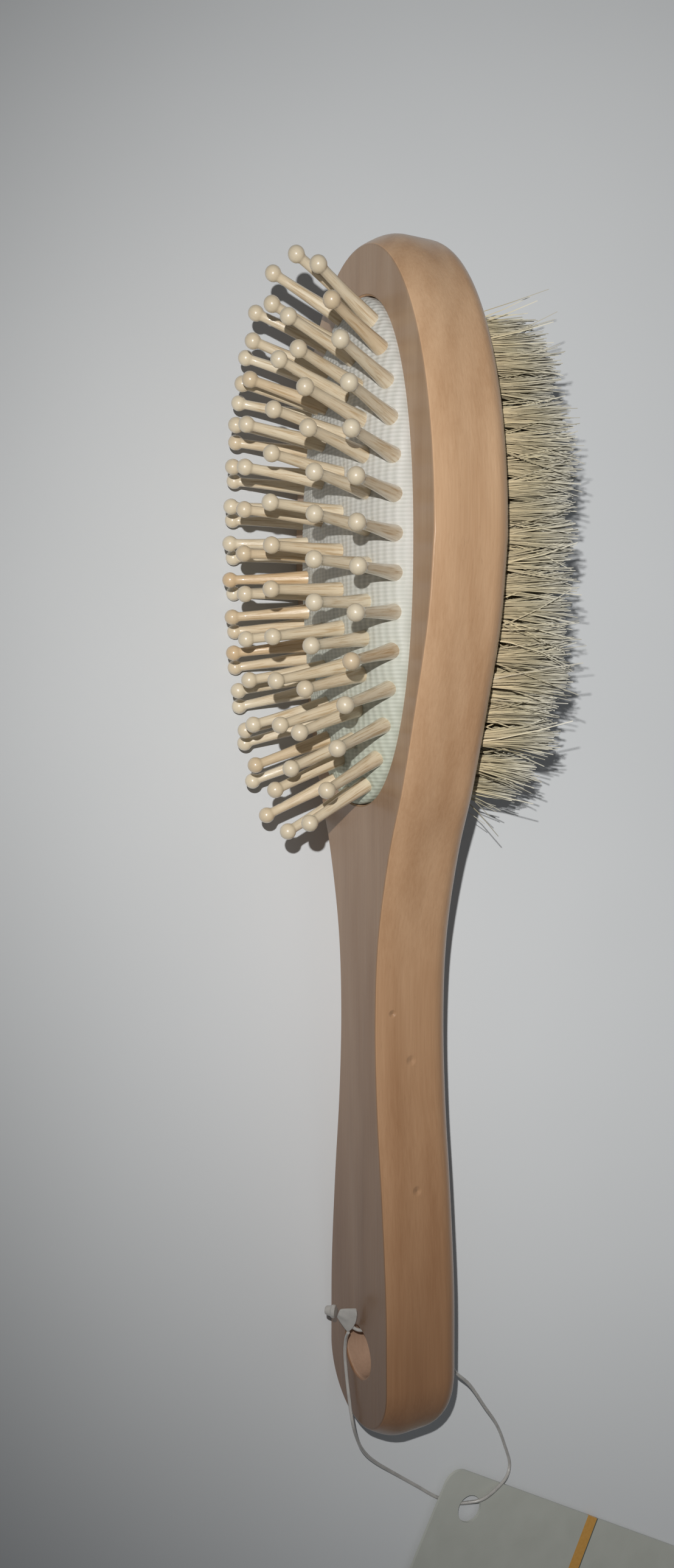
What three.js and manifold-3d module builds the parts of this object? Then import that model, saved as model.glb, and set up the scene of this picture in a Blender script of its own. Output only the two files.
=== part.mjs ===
// Double-sided wooden grooming brush, lying on its side: ball-tipped wooden pins in an air cushion on the
// front face, trimmed natural bristle on the back face, and a hang tag on a nylon loop through the handle.
// Units are millimetres, +Z is up. In the brush's own axes X runs from the front face into the board,
// Y runs from the handle's end to the head's tip and Z runs across the board.
import * as THREE from 'three';
import Module from 'manifold-3d';
import { mergeVertices } from 'three/addons/utils/BufferGeometryUtils.js';

const wasm = await Module();
wasm.setup();

// ---- Driving dimensions ----
// The length and the outline are the front face's; both end walls are crowned beyond it.
const board = {
  length: 238, thickness: 17.6, endRadius: 12.3, sideRound: 4.6, endRound: 7.5, tipRound: 5, crown: 3,
  crownDepth: 7,
};
const widest = { y: 180, halfWidth: 28.6, exponent: 2.08 };
// Distance from the handle's end and half-width there, from the round end to the head's widest place.
const waist = [
  [30, 12], [50, 10.3], [68, 8.3], [86, 7.45], [103, 8.6], [120, 12.7], [134, 17.9], [150, 22.7],
  [165, 26.7],
];
const hangHole = { y: 15.2, radius: 5.1 };
const opening = { y: 178.8, halfLength: 49.6, halfWidth: 21.2, exponent: 2.23, depth: 4.5 };
const gap = 0.3; // clearance between neighbouring pieces
// The skin is built on rings at these shares of its reach.
const cushion = { height: 6.5, skin: 1.2, rings: [0.35, 0.68, 0.9, 1], sides: 32 };
const pin = {
  length: 15.5, foot: 3.2, footRadius: 1.4, neck: 13.2, neckRadius: 0.95, ballRadius: 1.6, crown: 1.3,
  sides: 6,
};
const rail = { depth: 2.4, radius: 0.7, sides: 5 }; // bar under the skin that joins one column of pins
const outerRing = { count: 31, halfLength: 47.3, halfWidth: 19.2, exponent: 2.2 };
const middleRing = { count: 26, halfLength: 40.1, halfWidth: 13, exponent: 2 };
const innerColumns = { count: 9, halfWidth: 4.1, firstY: 149.4, pitch: 7.35 };
const fan = { across: 0.0375, along: 0.0075, endLift: 1.5e-6 }; // outward lean of a pin per mm off centre
const tufts = { rows: 9, pitch: 4.5, halfLength: 47.5, halfWidth: 20.8, exponent: 2.2, thickness: 3 };
// A row of bristle leans out by this share of its place across and grows by this much at each end.
const bristle = { length: 18, socket: 2, flare: 0.0333, endSpread: 3 };
// The brush lies on its side on head, handle end and pins: its tilts in degrees, and where its start stands.
const rest = { pitch: 5.53, roll: 3.7, x: -6.562, y: -118.465 };
const filament = { radius: 0.35, sides: 8, steps: 76 };
// The loop's lock stands on the front face beside the hole: its leaf's narrow root, the middle and one
// corner of the leaf's wide edge, and the far end of its socket, in the brush's own axes.
const lock = {
  root: [-4.2, 23.9, -1.8], edge: [-1.3, 22.4, 1], corner: [-0.5, 24.9, 2.5], end: [-5.8, 23.9, -3.4],
};
// The leaf starts clear of the socket's collar.
const leaf = {
  rootWidth: 1.8, edgeWidth: 6, shoulder: 0.75, thickness: 0.5, clear: 1, curveSteps: 4,
};
const socket = { radius: 1.05, collarRadius: 1.3, collarLength: 0.8, tipShare: 0.8, sides: 10 };
const tag = {
  length: 80, width: 45, thickness: 0.7, cornerRadius: 4, holeRadius: 3, holeX: 8.7, holeY: 7.3,
  curveSteps: 18,
};
// The card's corner, its heading and its height there, over the loop.
const tagPlace = { x: 20.9, y: -140.1, turn: -30.7, lift: 1.2 };
// The loop's route over the ground and through the tag and the handle, from the leaf round to the socket.
const route = [
  [-8.5, -99.1, 13.4], [-8, -101.6, 10.9], [-7.8, -105, 9.6], [-7.8, -108.8, 9.9], [-7.7, -114.3, 10.7],
  [-7.6, -118.4, 11.6], [-6, -123.1, 9.8], [-3, -128.4, 6.4], [0.5, -132.7, 3.8], [7.3, -138.9, 1.2],
  [12.2, -142.9, 0.6], [16.9, -146.6, 0.5], [22, -149.4, 0.5], [24.6, -149.5, 1.4], [27.6, -149, 2.6],
  [32.2, -147.4, 2.4], [34.9, -146.2, 1.6], [36.1, -144.3, 1], [34, -138.1, 2.5], [31.1, -132.1, 4.5],
  [26.6, -125.6, 7], [21.7, -118.6, 9.5], [16.8, -113.3, 11.5], [14.2, -107, 12.5], [12.6, -102.3, 12.6],
  [11, -100.3, 12.7], [7.4, -99.4, 12.9], [2.4, -99.3, 13.2], [-2.6, -99.2, 13.5], [-6.1, -98.9, 14],
  [-7.6, -98, 13.6], [-9.7, -94.9, 12.5],
];

// How finely the curves are stepped.
const outlineSteps = { end: 9, side: 28, tip: 13, wall: 3, edge: 3 };
const ovalSteps = { measured: 720, cut: 48 };
const holeSides = 24;

// ---- Materials ----
const material = (color, roughness) => new THREE.MeshStandardMaterial({ color, roughness, metalness: 0 });
const looks = {
  wood: material(0xa5714a, 0.4),
  rubber: material(0xdfe3dc, 0.7),
  pin: material(0xd9c6a3, 0.35),
  bristle: material(0xb0a98e, 0.8),
  nylon: material(0xd8dad6, 0.25),
  card: material(0xf2efe9, 0.6),
};

// ---- Mesh helpers ----
function weld(geometry) {
  const bare = geometry.clone();
  bare.deleteAttribute('normal');
  bare.deleteAttribute('uv');
  return mergeVertices(bare, 1e-4);
}

function solidOf(geometry) {
  const welded = weld(geometry);
  const vertProperties = Float32Array.from(welded.attributes.position.array);
  const triVerts = Uint32Array.from(welded.index.array);
  return new wasm.Manifold(new wasm.Mesh({ numProp: 3, vertProperties, triVerts }));
}

function geometryOf(solid) {
  const mesh = solid.getMesh();
  const geometry = new THREE.BufferGeometry();
  geometry.setAttribute('position', new THREE.BufferAttribute(Float32Array.from(mesh.vertProperties), 3));
  geometry.setIndex(new THREE.BufferAttribute(Uint32Array.from(mesh.triVerts), 1));
  return geometry;
}

function signedVolume(points, faces) {
  let volume = 0;
  for (const [a, b, c] of faces) {
    volume += points[a].dot(points[b].clone().cross(points[c])) / 6;
  }
  return volume;
}

// Triangles that fill a ring seen along X, turning the way the ring turns.
function capFaces(ring) {
  const outline = ring.map((p) => new THREE.Vector2(p.y, p.z));
  const turn = Math.sign(THREE.ShapeUtils.area(outline));
  return THREE.ShapeUtils.triangulateShape(outline, []).map(([a, b, c]) => {
    const same = THREE.ShapeUtils.area([outline[a], outline[b], outline[c]]) * turn > 0;
    return same ? [a, b, c] : [a, c, b];
  });
}

// A closed skin over rings of equal count, with a flat cap on the first and the last ring.
function loft(rings) {
  const count = rings[0].length;
  const points = rings.flat();
  const faces = [];
  for (let ring = 0; ring + 1 < rings.length; ring += 1) {
    for (let i = 0; i < count; i += 1) {
      const here = ring * count + i;
      const next = ring * count + ((i + 1) % count);
      faces.push([here, next, next + count], [here, next + count, here + count]);
    }
  }
  faces.push(...capFaces(rings[0]).map(([a, b, c]) => [a, c, b]));
  const last = (rings.length - 1) * count;
  faces.push(...capFaces(rings.at(-1)).map((face) => face.map((corner) => last + corner)));
  if (signedVolume(points, faces) < 0) faces.forEach((face) => face.reverse());
  const geometry = new THREE.BufferGeometry().setFromPoints(points);
  geometry.setIndex(faces.flat());
  return geometry;
}

// Moves a shape that stands along +Y so that it starts at a point and runs in a direction.
function standAlong(geometry, start, direction) {
  const turn = new THREE.Quaternion().setFromUnitVectors(new THREE.Vector3(0, 1, 0), direction);
  return geometry.clone().applyQuaternion(turn).translate(start.x, start.y, start.z);
}

const signedPower = (value, power) => Math.sign(value) * Math.abs(value) ** power;

// Points around a superellipse in the board's plane, from its lowest Y, at equal angles.
function oval({ halfLength, halfWidth, exponent }, centreY, count) {
  return Array.from({ length: count }, (_, i) => {
    const angle = (2 * Math.PI * i) / count;
    const along = -signedPower(Math.cos(angle), 2 / exponent) * halfLength;
    const across = signedPower(Math.sin(angle), 2 / exponent) * halfWidth;
    return new THREE.Vector2(centreY + along, across);
  });
}

// Points at equal spacing along the same oval.
function spacedOval(shape, centreY, count) {
  const path = new THREE.Path(oval(shape, centreY, ovalSteps.measured));
  path.closePath();
  return path.getSpacedPoints(count).slice(0, count);
}

function add(group, name, geometry, look) {
  const mesh = new THREE.Mesh(geometry, look);
  mesh.name = name;
  group.add(mesh);
  return mesh;
}

// ---- Board ----
// One side of the outline, as (Y, half-width), from the handle's end to the head's tip.
function halfOutline() {
  const { endRadius, length } = board;
  const points = [];
  for (let i = 0; i < outlineSteps.end; i += 1) {
    const angle = (Math.PI / 2) * (i / outlineSteps.end);
    points.push(new THREE.Vector2(endRadius * (1 - Math.cos(angle)), endRadius * Math.sin(angle)));
  }
  const knots = [[endRadius, endRadius], ...waist, [widest.y, widest.halfWidth]];
  const side = new THREE.SplineCurve(knots.map(([y, z]) => new THREE.Vector2(y, z)));
  points.push(...side.getSpacedPoints(outlineSteps.side).slice(0, -1));
  for (let i = 0; i <= outlineSteps.tip; i += 1) {
    const angle = (Math.PI / 2) * (i / outlineSteps.tip);
    const along = Math.sin(angle) ** (2 / widest.exponent) * (length - widest.y);
    const half = Math.abs(Math.cos(angle)) ** (2 / widest.exponent) * widest.halfWidth;
    points.push(new THREE.Vector2(widest.y + along, i === outlineSteps.tip ? 0 : half));
  }
  return points;
}

function boardOutline() {
  const upper = halfOutline();
  const lower = upper.slice(1, -1).reverse();
  return [...upper, ...lower.map((p) => new THREE.Vector2(p.x, -p.y))];
}

// The board from its crisp front edge over its crowned ends to its rounded back edge.
function boardBlank() {
  const outline = boardOutline();
  const count = outline.length;
  const inward = outline.map((_, i) => {
    const before = outline[(i + count - 1) % count];
    const after = outline[(i + 1) % count];
    const along = after.clone().sub(before).normalize();
    return new THREE.Vector2(along.y, -along.x);
  });
  const roundAt = (i) => {
    const atEnd = inward[i].x > 0 ? board.endRound : board.tipRound;
    return board.sideRound + (atEnd - board.sideRound) * inward[i].x ** 4;
  };
  const pointAt = (i, depth, inset) => {
    const rise = Math.sin((Math.PI / 2) * Math.min(depth / board.crownDepth, 1));
    const shift = inset - board.crown * rise * inward[i].x ** 2;
    return new THREE.Vector3(depth, outline[i].x + inward[i].x * shift, outline[i].y + inward[i].y * shift);
  };
  const { wall, edge } = outlineSteps;
  const rings = [];
  for (let step = 0; step < wall; step += 1) {
    rings.push(outline.map((_, i) => pointAt(i, (board.thickness - roundAt(i)) * (step / wall), 0)));
  }
  for (let step = 0; step <= edge; step += 1) {
    const angle = (Math.PI / 2) * (step / edge);
    const depthAt = (i) => board.thickness - roundAt(i) * (1 - Math.sin(angle));
    rings.push(outline.map((_, i) => pointAt(i, depthAt(i), roundAt(i) * (1 - Math.cos(angle)))));
  }
  return loft(rings);
}

// A straight-walled tool that cuts an oval pocket from the front face down to a depth.
function ovalCutter(shape, from, to, count) {
  const ring = (x) => oval(shape, shape.y, count).map((p) => new THREE.Vector3(x, p.x, p.y));
  return loft([ring(from), ring(to)]);
}

function rowShape(row) {
  const z = (row - (tufts.rows - 1) / 2) * tufts.pitch;
  const share = 1 - Math.abs(z / tufts.halfWidth) ** tufts.exponent;
  return { z, halfLength: tufts.halfLength * share ** (1 / tufts.exponent) };
}

// A slab that stands on the back face along Y; its free end is longer and leans away from the middle.
function slab({ z, halfLength }, from, to, halfThickness, endSpread = 0, flare = 0) {
  const ring = (x, grow) => {
    const end = halfLength + grow * endSpread;
    const middle = z * (1 + grow * flare);
    return [[-1, -1], [-1, 1], [1, 1], [1, -1]].map(
      ([a, b]) => new THREE.Vector3(x, opening.y + a * end, middle + b * halfThickness),
    );
  };
  return loft([ring(from, 0), ring(to, 1)]);
}

function boardGeometry() {
  const { radius } = hangHole;
  const holeCutter = new THREE.CylinderGeometry(radius, radius, 3 * board.thickness, holeSides);
  holeCutter.rotateZ(Math.PI / 2).translate(board.thickness / 2, hangHole.y, 0);
  let body = solidOf(boardBlank());
  body = body.subtract(solidOf(holeCutter));
  body = body.subtract(solidOf(ovalCutter(opening, -1, opening.depth, ovalSteps.cut)));
  for (let row = 0; row < tufts.rows; row += 1) {
    const shape = rowShape(row);
    shape.halfLength += gap;
    const from = board.thickness - bristle.socket - gap;
    const slot = slab(shape, from, board.thickness + 1, tufts.thickness / 2 + gap);
    body = body.subtract(solidOf(slot));
  }
  return geometryOf(body);
}

// ---- Air cushion and pins ----
const skirt = {
  halfLength: opening.halfLength - gap,
  halfWidth: opening.halfWidth - gap,
  exponent: opening.exponent,
};

function domeHeight(y, z) {
  const along = Math.abs((y - opening.y) / skirt.halfLength) ** skirt.exponent;
  const across = Math.abs(z / skirt.halfWidth) ** skirt.exponent;
  return cushion.height * Math.sqrt(Math.max(1 - along - across, 0));
}

function pinPlaces() {
  const ring = (shape) => spacedOval(shape, opening.y, shape.count);
  const bySide = (points, side) => points.filter((p) => (side > 0 ? p.y > -1e-6 : p.y <= -1e-6));
  const columns = {};
  for (const [name, side] of [['upper', 1], ['lower', -1]]) {
    columns[`pins_outer_${name}`] = bySide(ring(outerRing), side);
    columns[`pins_middle_${name}`] = bySide(ring(middleRing), side);
    const { count, firstY, pitch, halfWidth } = innerColumns;
    const inner = (_, i) => new THREE.Vector2(firstY + i * pitch, side * halfWidth);
    columns[`pins_inner_${name}`] = Array.from({ length: count }, inner);
  }
  return columns;
}

function pinAxis({ x: y, y: z }) {
  const off = y - opening.y;
  const lean = new THREE.Vector3(-1, fan.along * off + fan.endLift * off ** 3, fan.across * z);
  return { start: new THREE.Vector3(-domeHeight(y, z), y, z), direction: lean.normalize() };
}

function pinGeometry(place) {
  const { start, direction } = pinAxis(place);
  const profile = [
    [0, -pin.foot], [pin.footRadius, -pin.foot], [pin.neckRadius, pin.neck], [pin.ballRadius, pin.length],
    [pin.neckRadius, pin.length + pin.crown], [0, pin.length + pin.ballRadius],
  ];
  const turned = new THREE.LatheGeometry(profile.map(([r, y]) => new THREE.Vector2(r, y)), pin.sides);
  return standAlong(turned, start, direction);
}

function railGeometry(a, b) {
  const root = (place) => {
    const { start, direction } = pinAxis(place);
    return start.addScaledVector(direction, -rail.depth);
  };
  const from = root(a);
  const run = root(b).sub(from);
  const bar = new THREE.CylinderGeometry(rail.radius, rail.radius, run.length(), rail.sides);
  bar.translate(0, run.length() / 2, 0);
  return standAlong(bar, from, run.clone().normalize());
}

function columnGeometry(places) {
  let column = solidOf(pinGeometry(places[0]));
  for (let i = 1; i < places.length; i += 1) {
    column = column.add(solidOf(pinGeometry(places[i])));
    column = column.add(solidOf(railGeometry(places[i - 1], places[i])));
  }
  return geometryOf(column);
}

function skinGeometry(columns) {
  const ringAt = (inset, share) => {
    const shape = { halfLength: skirt.halfLength - inset, halfWidth: skirt.halfWidth - inset };
    const outline = oval({ ...shape, exponent: skirt.exponent }, 0, cushion.sides);
    const x = -(cushion.height - inset) * Math.sqrt(1 - share ** skirt.exponent);
    return outline.map((p) => new THREE.Vector3(x, opening.y + p.x * share, p.y * share));
  };
  const drop = (ring) => ring.map((p) => new THREE.Vector3(opening.depth - gap, p.y, p.z));
  const outside = cushion.rings.map((share) => ringAt(0, share));
  const inside = cushion.rings.map((share) => ringAt(cushion.skin, share)).reverse();
  const shell = loft([...outside, drop(outside.at(-1)), drop(inside[0]), ...inside]);
  let skin = solidOf(shell);
  const radius = pin.footRadius + gap;
  const punch = new THREE.CylinderGeometry(radius, radius, 2 * (cushion.skin + 1), pin.sides);
  for (const place of Object.values(columns).flat()) {
    const { start, direction } = pinAxis(place);
    skin = skin.subtract(solidOf(standAlong(punch, start, direction)));
  }
  return geometryOf(skin);
}

// ---- Brush ----
const brush = new THREE.Group();
const columns = pinPlaces();
add(brush, 'wood_body', boardGeometry(), looks.wood);
add(brush, 'cushion_membrane', skinGeometry(columns), looks.rubber);
for (const [name, places] of Object.entries(columns)) {
  add(brush, name, columnGeometry(places), looks.pin);
}
for (let row = 0; row < tufts.rows; row += 1) {
  const from = board.thickness - bristle.socket;
  const to = board.thickness + bristle.length;
  const tuft = slab(rowShape(row), from, to, tufts.thickness / 2, bristle.endSpread, bristle.flare);
  add(brush, `bristle_row_${row + 1}`, tuft, looks.bristle);
}

// ---- Loop fastener and hang tag ----
const point = ([x, y, z]) => new THREE.Vector3(x, y, z);

// A thin fan-shaped plate from the lock's root to its wide edge.
function leafGeometry() {
  const length = point(lock.edge).distanceTo(point(lock.root)) - leaf.clear;
  const fanShape = new THREE.Shape();
  fanShape.moveTo(0, -leaf.rootWidth / 2);
  fanShape.lineTo(length * leaf.shoulder, -leaf.edgeWidth / 2);
  fanShape.quadraticCurveTo(length, -leaf.edgeWidth / 2, length, -leaf.edgeWidth / 4);
  fanShape.lineTo(length, leaf.edgeWidth / 4);
  fanShape.quadraticCurveTo(length, leaf.edgeWidth / 2, length * leaf.shoulder, leaf.edgeWidth / 2);
  fanShape.lineTo(0, leaf.rootWidth / 2);
  const settings = { depth: leaf.thickness, bevelEnabled: false, curveSegments: leaf.curveSteps };
  const plate = new THREE.ExtrudeGeometry(fanShape, settings);
  plate.translate(leaf.clear, 0, -leaf.thickness / 2);
  const along = point(lock.edge).sub(point(lock.root)).normalize();
  const across = point(lock.corner).sub(point(lock.edge));
  across.addScaledVector(along, -across.dot(along)).normalize();
  const basis = new THREE.Matrix4().makeBasis(along, across, along.clone().cross(across));
  return weld(plate.applyMatrix4(basis).translate(...lock.root));
}

// A short round socket with a collar at the end that the loop's tip snaps into.
function socketGeometry() {
  const run = point(lock.end).sub(point(lock.root));
  const { radius, collarRadius, collarLength, tipShare } = socket;
  const profile = [
    [0, 0], [collarRadius, 0], [collarRadius, collarLength], [radius, collarLength],
    [radius * tipShare, run.length()], [0, run.length()],
  ];
  const turned = new THREE.LatheGeometry(profile.map(([r, y]) => new THREE.Vector2(r, y)), socket.sides);
  return weld(standAlong(turned, point(lock.root), run.normalize()));
}

function filamentGeometry() {
  const section = new THREE.Shape();
  section.absarc(0, 0, filament.radius, 0, 2 * Math.PI);
  const extrudePath = new THREE.CatmullRomCurve3(route.map(point));
  const settings = { extrudePath, steps: filament.steps, curveSegments: filament.sides / 2 };
  return weld(new THREE.ExtrudeGeometry(section, settings));
}

// A stiff card with rounded corners and a punched hole near one corner.
function tagGeometry() {
  const { length, width, cornerRadius: r, thickness } = tag;
  const card = new THREE.Shape();
  card.moveTo(r, 0);
  card.lineTo(length - r, 0);
  card.absarc(length - r, -r, r, Math.PI / 2, 0, true);
  card.lineTo(length, -width + r);
  card.absarc(length - r, -width + r, r, 0, -Math.PI / 2, true);
  card.lineTo(r, -width);
  card.absarc(r, -width + r, r, -Math.PI / 2, -Math.PI, true);
  card.lineTo(0, -r);
  card.absarc(r, -r, r, Math.PI, Math.PI / 2, true);
  const punched = new THREE.Path();
  punched.absarc(tag.holeX, -tag.holeY, tag.holeRadius, 0, 2 * Math.PI);
  card.holes.push(punched);
  const settings = { depth: thickness, bevelEnabled: false, curveSegments: tag.curveSteps };
  return weld(new THREE.ExtrudeGeometry(card, settings));
}

add(brush, 'lock_leaf', leafGeometry(), looks.nylon);
add(brush, 'lock_socket', socketGeometry(), looks.nylon);

brush.rotation.set(THREE.MathUtils.degToRad(rest.pitch), THREE.MathUtils.degToRad(rest.roll), 0);
const part = new THREE.Group();
part.add(brush);
part.updateMatrixWorld(true);
const box = new THREE.Box3().setFromObject(brush, true);
brush.position.set(rest.x, rest.y, -box.min.z);

add(part, 'loop_filament', filamentGeometry(), looks.nylon);
const card = add(part, 'hang_tag', tagGeometry(), looks.card);
card.position.set(tagPlace.x, tagPlace.y, tagPlace.lift);
const sink = Math.asin(tagPlace.lift / tag.length); // the far edge comes down to the ground
card.rotation.set(0, sink, THREE.MathUtils.degToRad(tagPlace.turn), 'ZYX');

export default part;
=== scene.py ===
"""Looks of a double-sided wooden grooming brush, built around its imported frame.

Lengths are millimetres in the brush's own axes unless a comment says otherwise. There X runs from the front
face into the board, Y from the handle's end to the head's tip and Z across the board.
"""

import math
import random

import bmesh
import bpy
import numpy as np
from mathutils import Matrix, Vector


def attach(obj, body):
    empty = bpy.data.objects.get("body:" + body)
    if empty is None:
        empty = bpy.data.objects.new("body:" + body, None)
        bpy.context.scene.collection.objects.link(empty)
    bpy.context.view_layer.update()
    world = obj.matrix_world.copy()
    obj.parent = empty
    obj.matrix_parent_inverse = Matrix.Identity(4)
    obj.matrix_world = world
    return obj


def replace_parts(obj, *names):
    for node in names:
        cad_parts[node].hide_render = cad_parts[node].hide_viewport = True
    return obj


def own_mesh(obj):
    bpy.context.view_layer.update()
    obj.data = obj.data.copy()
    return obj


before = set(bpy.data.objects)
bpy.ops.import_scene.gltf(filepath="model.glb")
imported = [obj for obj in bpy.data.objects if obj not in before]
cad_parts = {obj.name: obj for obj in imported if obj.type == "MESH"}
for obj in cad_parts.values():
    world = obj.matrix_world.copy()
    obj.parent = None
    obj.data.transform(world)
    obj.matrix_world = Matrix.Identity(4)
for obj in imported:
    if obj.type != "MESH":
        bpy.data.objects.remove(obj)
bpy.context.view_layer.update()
rng = random.Random(71)
scatter = np.random.default_rng(71)

# ---- Driving dimensions; what the solid model has too is as it is there ----
MM = 0.001
REST_PITCH, REST_ROLL = math.radians(5.53), math.radians(3.7)
BOARD = dict(
    length=238, thickness=17.6, end_radius=12.3, side_round=4.6, end_round=7.5, tip_round=5, crown=3,
    side_crown=0.7, crown_depth=7, edge_break=0.4,
)
WIDEST = dict(y=180, half_width=28.6, exponent=2.08)
WAIST = [
    (30, 12), (50, 10.3), (68, 8.3), (86, 7.45), (103, 8.6),
    (120, 12.7), (134, 17.9), (150, 22.7), (165, 26.7),
]
HANG_HOLE = dict(y=15.2, radius=5.1, ease=0.7)
OPENING = dict(y=178.8, half_length=49.6, half_width=21.2, exponent=2.23, depth=4.5, ease=0.3)
GAP = 0.3
# Small nicks in the handle's side: where they are and how far they reach.
NICKS = [((7.8, 78, 8.2), 1.1), ((7.8, 52, 10.8), 1), ((3.6, 88, 8.1), 0.8)]
CUSHION_HEIGHT = 6.5
# Fitted tints that paint light and shade into the wood; how much of the handle's is the wood's own isn't
# known.
FACE_PAINTED_SHADE = (0.63, 0.67, 0.745, 1)  # painted shade: the front face is greyer and cooler than the sides
HANDLE_END_SHADE_AND_TONE = (0.50, 0.405, 0.34)  # painted shade at the handle's end, partly darker wood, which fades out
HEAD_PAINTED_LIGHT = (1.06, 1.09, 1.14)  # into this painted light at the head
LATTICE = dict(along=0.76, across=1.5, rise=0.055)  # pitches of the skin's dots, and how far they rise
PIN = dict(length=15.5, foot=3.0, foot_radius=1.62, neck_radius=0.94, ball_radius=1.6, sides=20)
OUTER_RING = dict(count=31, half_length=47.3, half_width=19.2, exponent=2.2)
MIDDLE_RING = dict(count=26, half_length=40.1, half_width=13, exponent=2)
INNER_COLUMNS = dict(count=9, half_width=4.1, first_y=149.4, pitch=7.35)
FAN = dict(across=0.0375, along=0.0075, end_lift=1.5e-6)
TUFTS = dict(
    rows=9, pitch=4.5, half_length=47.5, half_width=20.8, exponent=2.2, hole_radius=1.5, hole_depth=2,
)
BRISTLE = dict(length=18.8, radius=0.13, per_tuft=120, steps=3)
STRAY = dict(share=0.06, spread=0.22, curl=1.8, extra=1.6)  # the few bristles that stick out
CLEAR_OF_FLOOR = 0.0002  # metres that the lowest bristles keep
FILAMENT_RADIUS = 0.35
LOCK = dict(root=(-4.2, 23.9, -1.8), edge=(-1.3, 22.4, 1), corner=(-0.5, 24.9, 2.5), end=(-5.8, 23.9, -3.4))
LEAF = dict(root_width=1.8, edge_width=6, thickness=0.5, clear=0.7)
SOCKET = dict(radius=1.05, collar_radius=1.3, collar_length=0.8)
TAG_PLACE = dict(x=20.9, y=-140.1, turn=math.radians(-30.7), lift=1.2, length=80)
STRIPE = dict(middle=43.5, width=2.9, line=0.3)
# The loop's route in the row frame, from the leaf round through the tag and the handle to the socket.
ROUTE = [
    (-8.5, -99.1, 13.4), (-8, -101.6, 10.9), (-7.8, -105, 9.6), (-7.8, -108.8, 9.9), (-7.7, -114.3, 10.7),
    (-7.6, -118.4, 11.6), (-6, -123.1, 9.8), (-3, -128.4, 6.4), (0.5, -132.7, 3.8), (7.3, -138.9, 1.2),
    (12.2, -142.9, 0.6), (16.9, -146.6, 0.5), (22, -149.4, 0.5), (24.6, -149.5, 1.4), (27.6, -149, 2.6),
    (32.2, -147.4, 2.4), (34.9, -146.2, 1.6), (36.1, -144.3, 1), (34, -138.1, 2.5), (31.1, -132.1, 4.5),
    (26.6, -125.6, 7), (21.7, -118.6, 9.5), (16.8, -113.3, 11.5), (14.2, -107, 12.5), (12.6, -102.3, 12.6),
    (11, -100.3, 12.7), (7.4, -99.4, 12.9), (2.4, -99.3, 13.2), (-2.6, -99.2, 13.5), (-6.1, -98.9, 14),
    (-7.6, -98, 13.6), (-9.7, -94.9, 12.5),
]
# The camera in the row frame, in millimetres.
CAMERA = dict(
    place=(-102.2, 10.1, 234.6), forward=(0.3986, 0.0193, -0.9169), up=(0.0291, 0.999, 0.0337), lens=26.34,
)
# The key's place and aim are in the camera's own axes: right, up and back, in metres.
KEY = dict(
    beside=(-0.009, 0.026, 0.01), aim=(0.34, 0.02, -1), radius=0.0015, cone=math.radians(109), power=35.5,
)
ROOM_COLOR = (0.92, 0.96, 1, 1)
ROOM_STRENGTH = 0.12
FLOOR = dict(reach=1.5, drop=0.0001)  # metres


def brush_axes():
    """The brush's own millimetres in the row frame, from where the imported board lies."""
    turn = Matrix.Rotation(REST_PITCH, 4, "X") @ Matrix.Rotation(REST_ROLL, 4, "Y")
    back = turn.inverted()
    corners = np.array([back @ v.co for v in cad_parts["wood_body"].data.vertices])
    low, high = corners.min(0), corners.max(0)
    start = Vector((low[0], low[1] + BOARD["crown"] * MM, (low[2] + high[2]) / 2))
    return turn @ Matrix.Translation(start) @ Matrix.Scale(MM, 4)


BRUSH = brush_axes()


# ---- Camera, light and floor ----
def make_camera():
    forward, up = Vector(CAMERA["forward"]).normalized(), Vector(CAMERA["up"])
    right = forward.cross(up).normalized()
    up = right.cross(forward)
    camera = bpy.data.objects.new("camera", bpy.data.cameras.new("camera"))
    turn = Matrix((right, up, -forward)).transposed().to_4x4()
    camera.matrix_world = Matrix.Translation(Vector(CAMERA["place"]) * MM) @ turn
    camera.data.lens = CAMERA["lens"]
    camera.data.clip_start = 0.005
    bpy.context.scene.collection.objects.link(camera)
    bpy.context.scene.camera = camera


def make_lights():
    """A small hard key beside the camera, as strong far off as near, and a pale room."""
    camera = bpy.context.scene.camera.matrix_world
    key = bpy.data.objects.new("key", bpy.data.lights.new("key", "SPOT"))
    key.data.energy = KEY["power"]
    key.data.color = (1, 0.99, 0.975)
    key.data.shadow_soft_size = KEY["radius"]
    key.data.spot_size = KEY["cone"]
    key.data.spot_blend = 1
    key.data.use_nodes = True
    even = key.data.node_tree.nodes.new("ShaderNodeLightFalloff")
    even.inputs["Strength"].default_value = 1
    glow = key.data.node_tree.nodes["Emission"]
    key.data.node_tree.links.new(even.outputs["Constant"], glow.inputs["Strength"])
    key.location = camera @ Vector(KEY["beside"])
    key.rotation_euler = (camera.to_3x3() @ Vector(KEY["aim"])).to_track_quat("-Z", "Y").to_euler()
    bpy.context.scene.collection.objects.link(key)
    world = bpy.data.worlds.new("studio")
    world.use_nodes = True
    world.node_tree.nodes["Background"].inputs["Color"].default_value = ROOM_COLOR
    world.node_tree.nodes["Background"].inputs["Strength"].default_value = ROOM_STRENGTH
    bpy.context.scene.world = world
    bpy.context.scene.view_settings.view_transform = "Standard"


# ---- Material helpers ----
def new_material(name, **sockets):
    """A Principled material; returns it with its node tree and its shader node."""
    made = bpy.data.materials.new(name)
    made.use_nodes = True
    shader = made.node_tree.nodes["Principled BSDF"]
    for socket, value in sockets.items():
        shader.inputs[socket.replace("_", " ")].default_value = value
    return made, made.node_tree, shader


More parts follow.
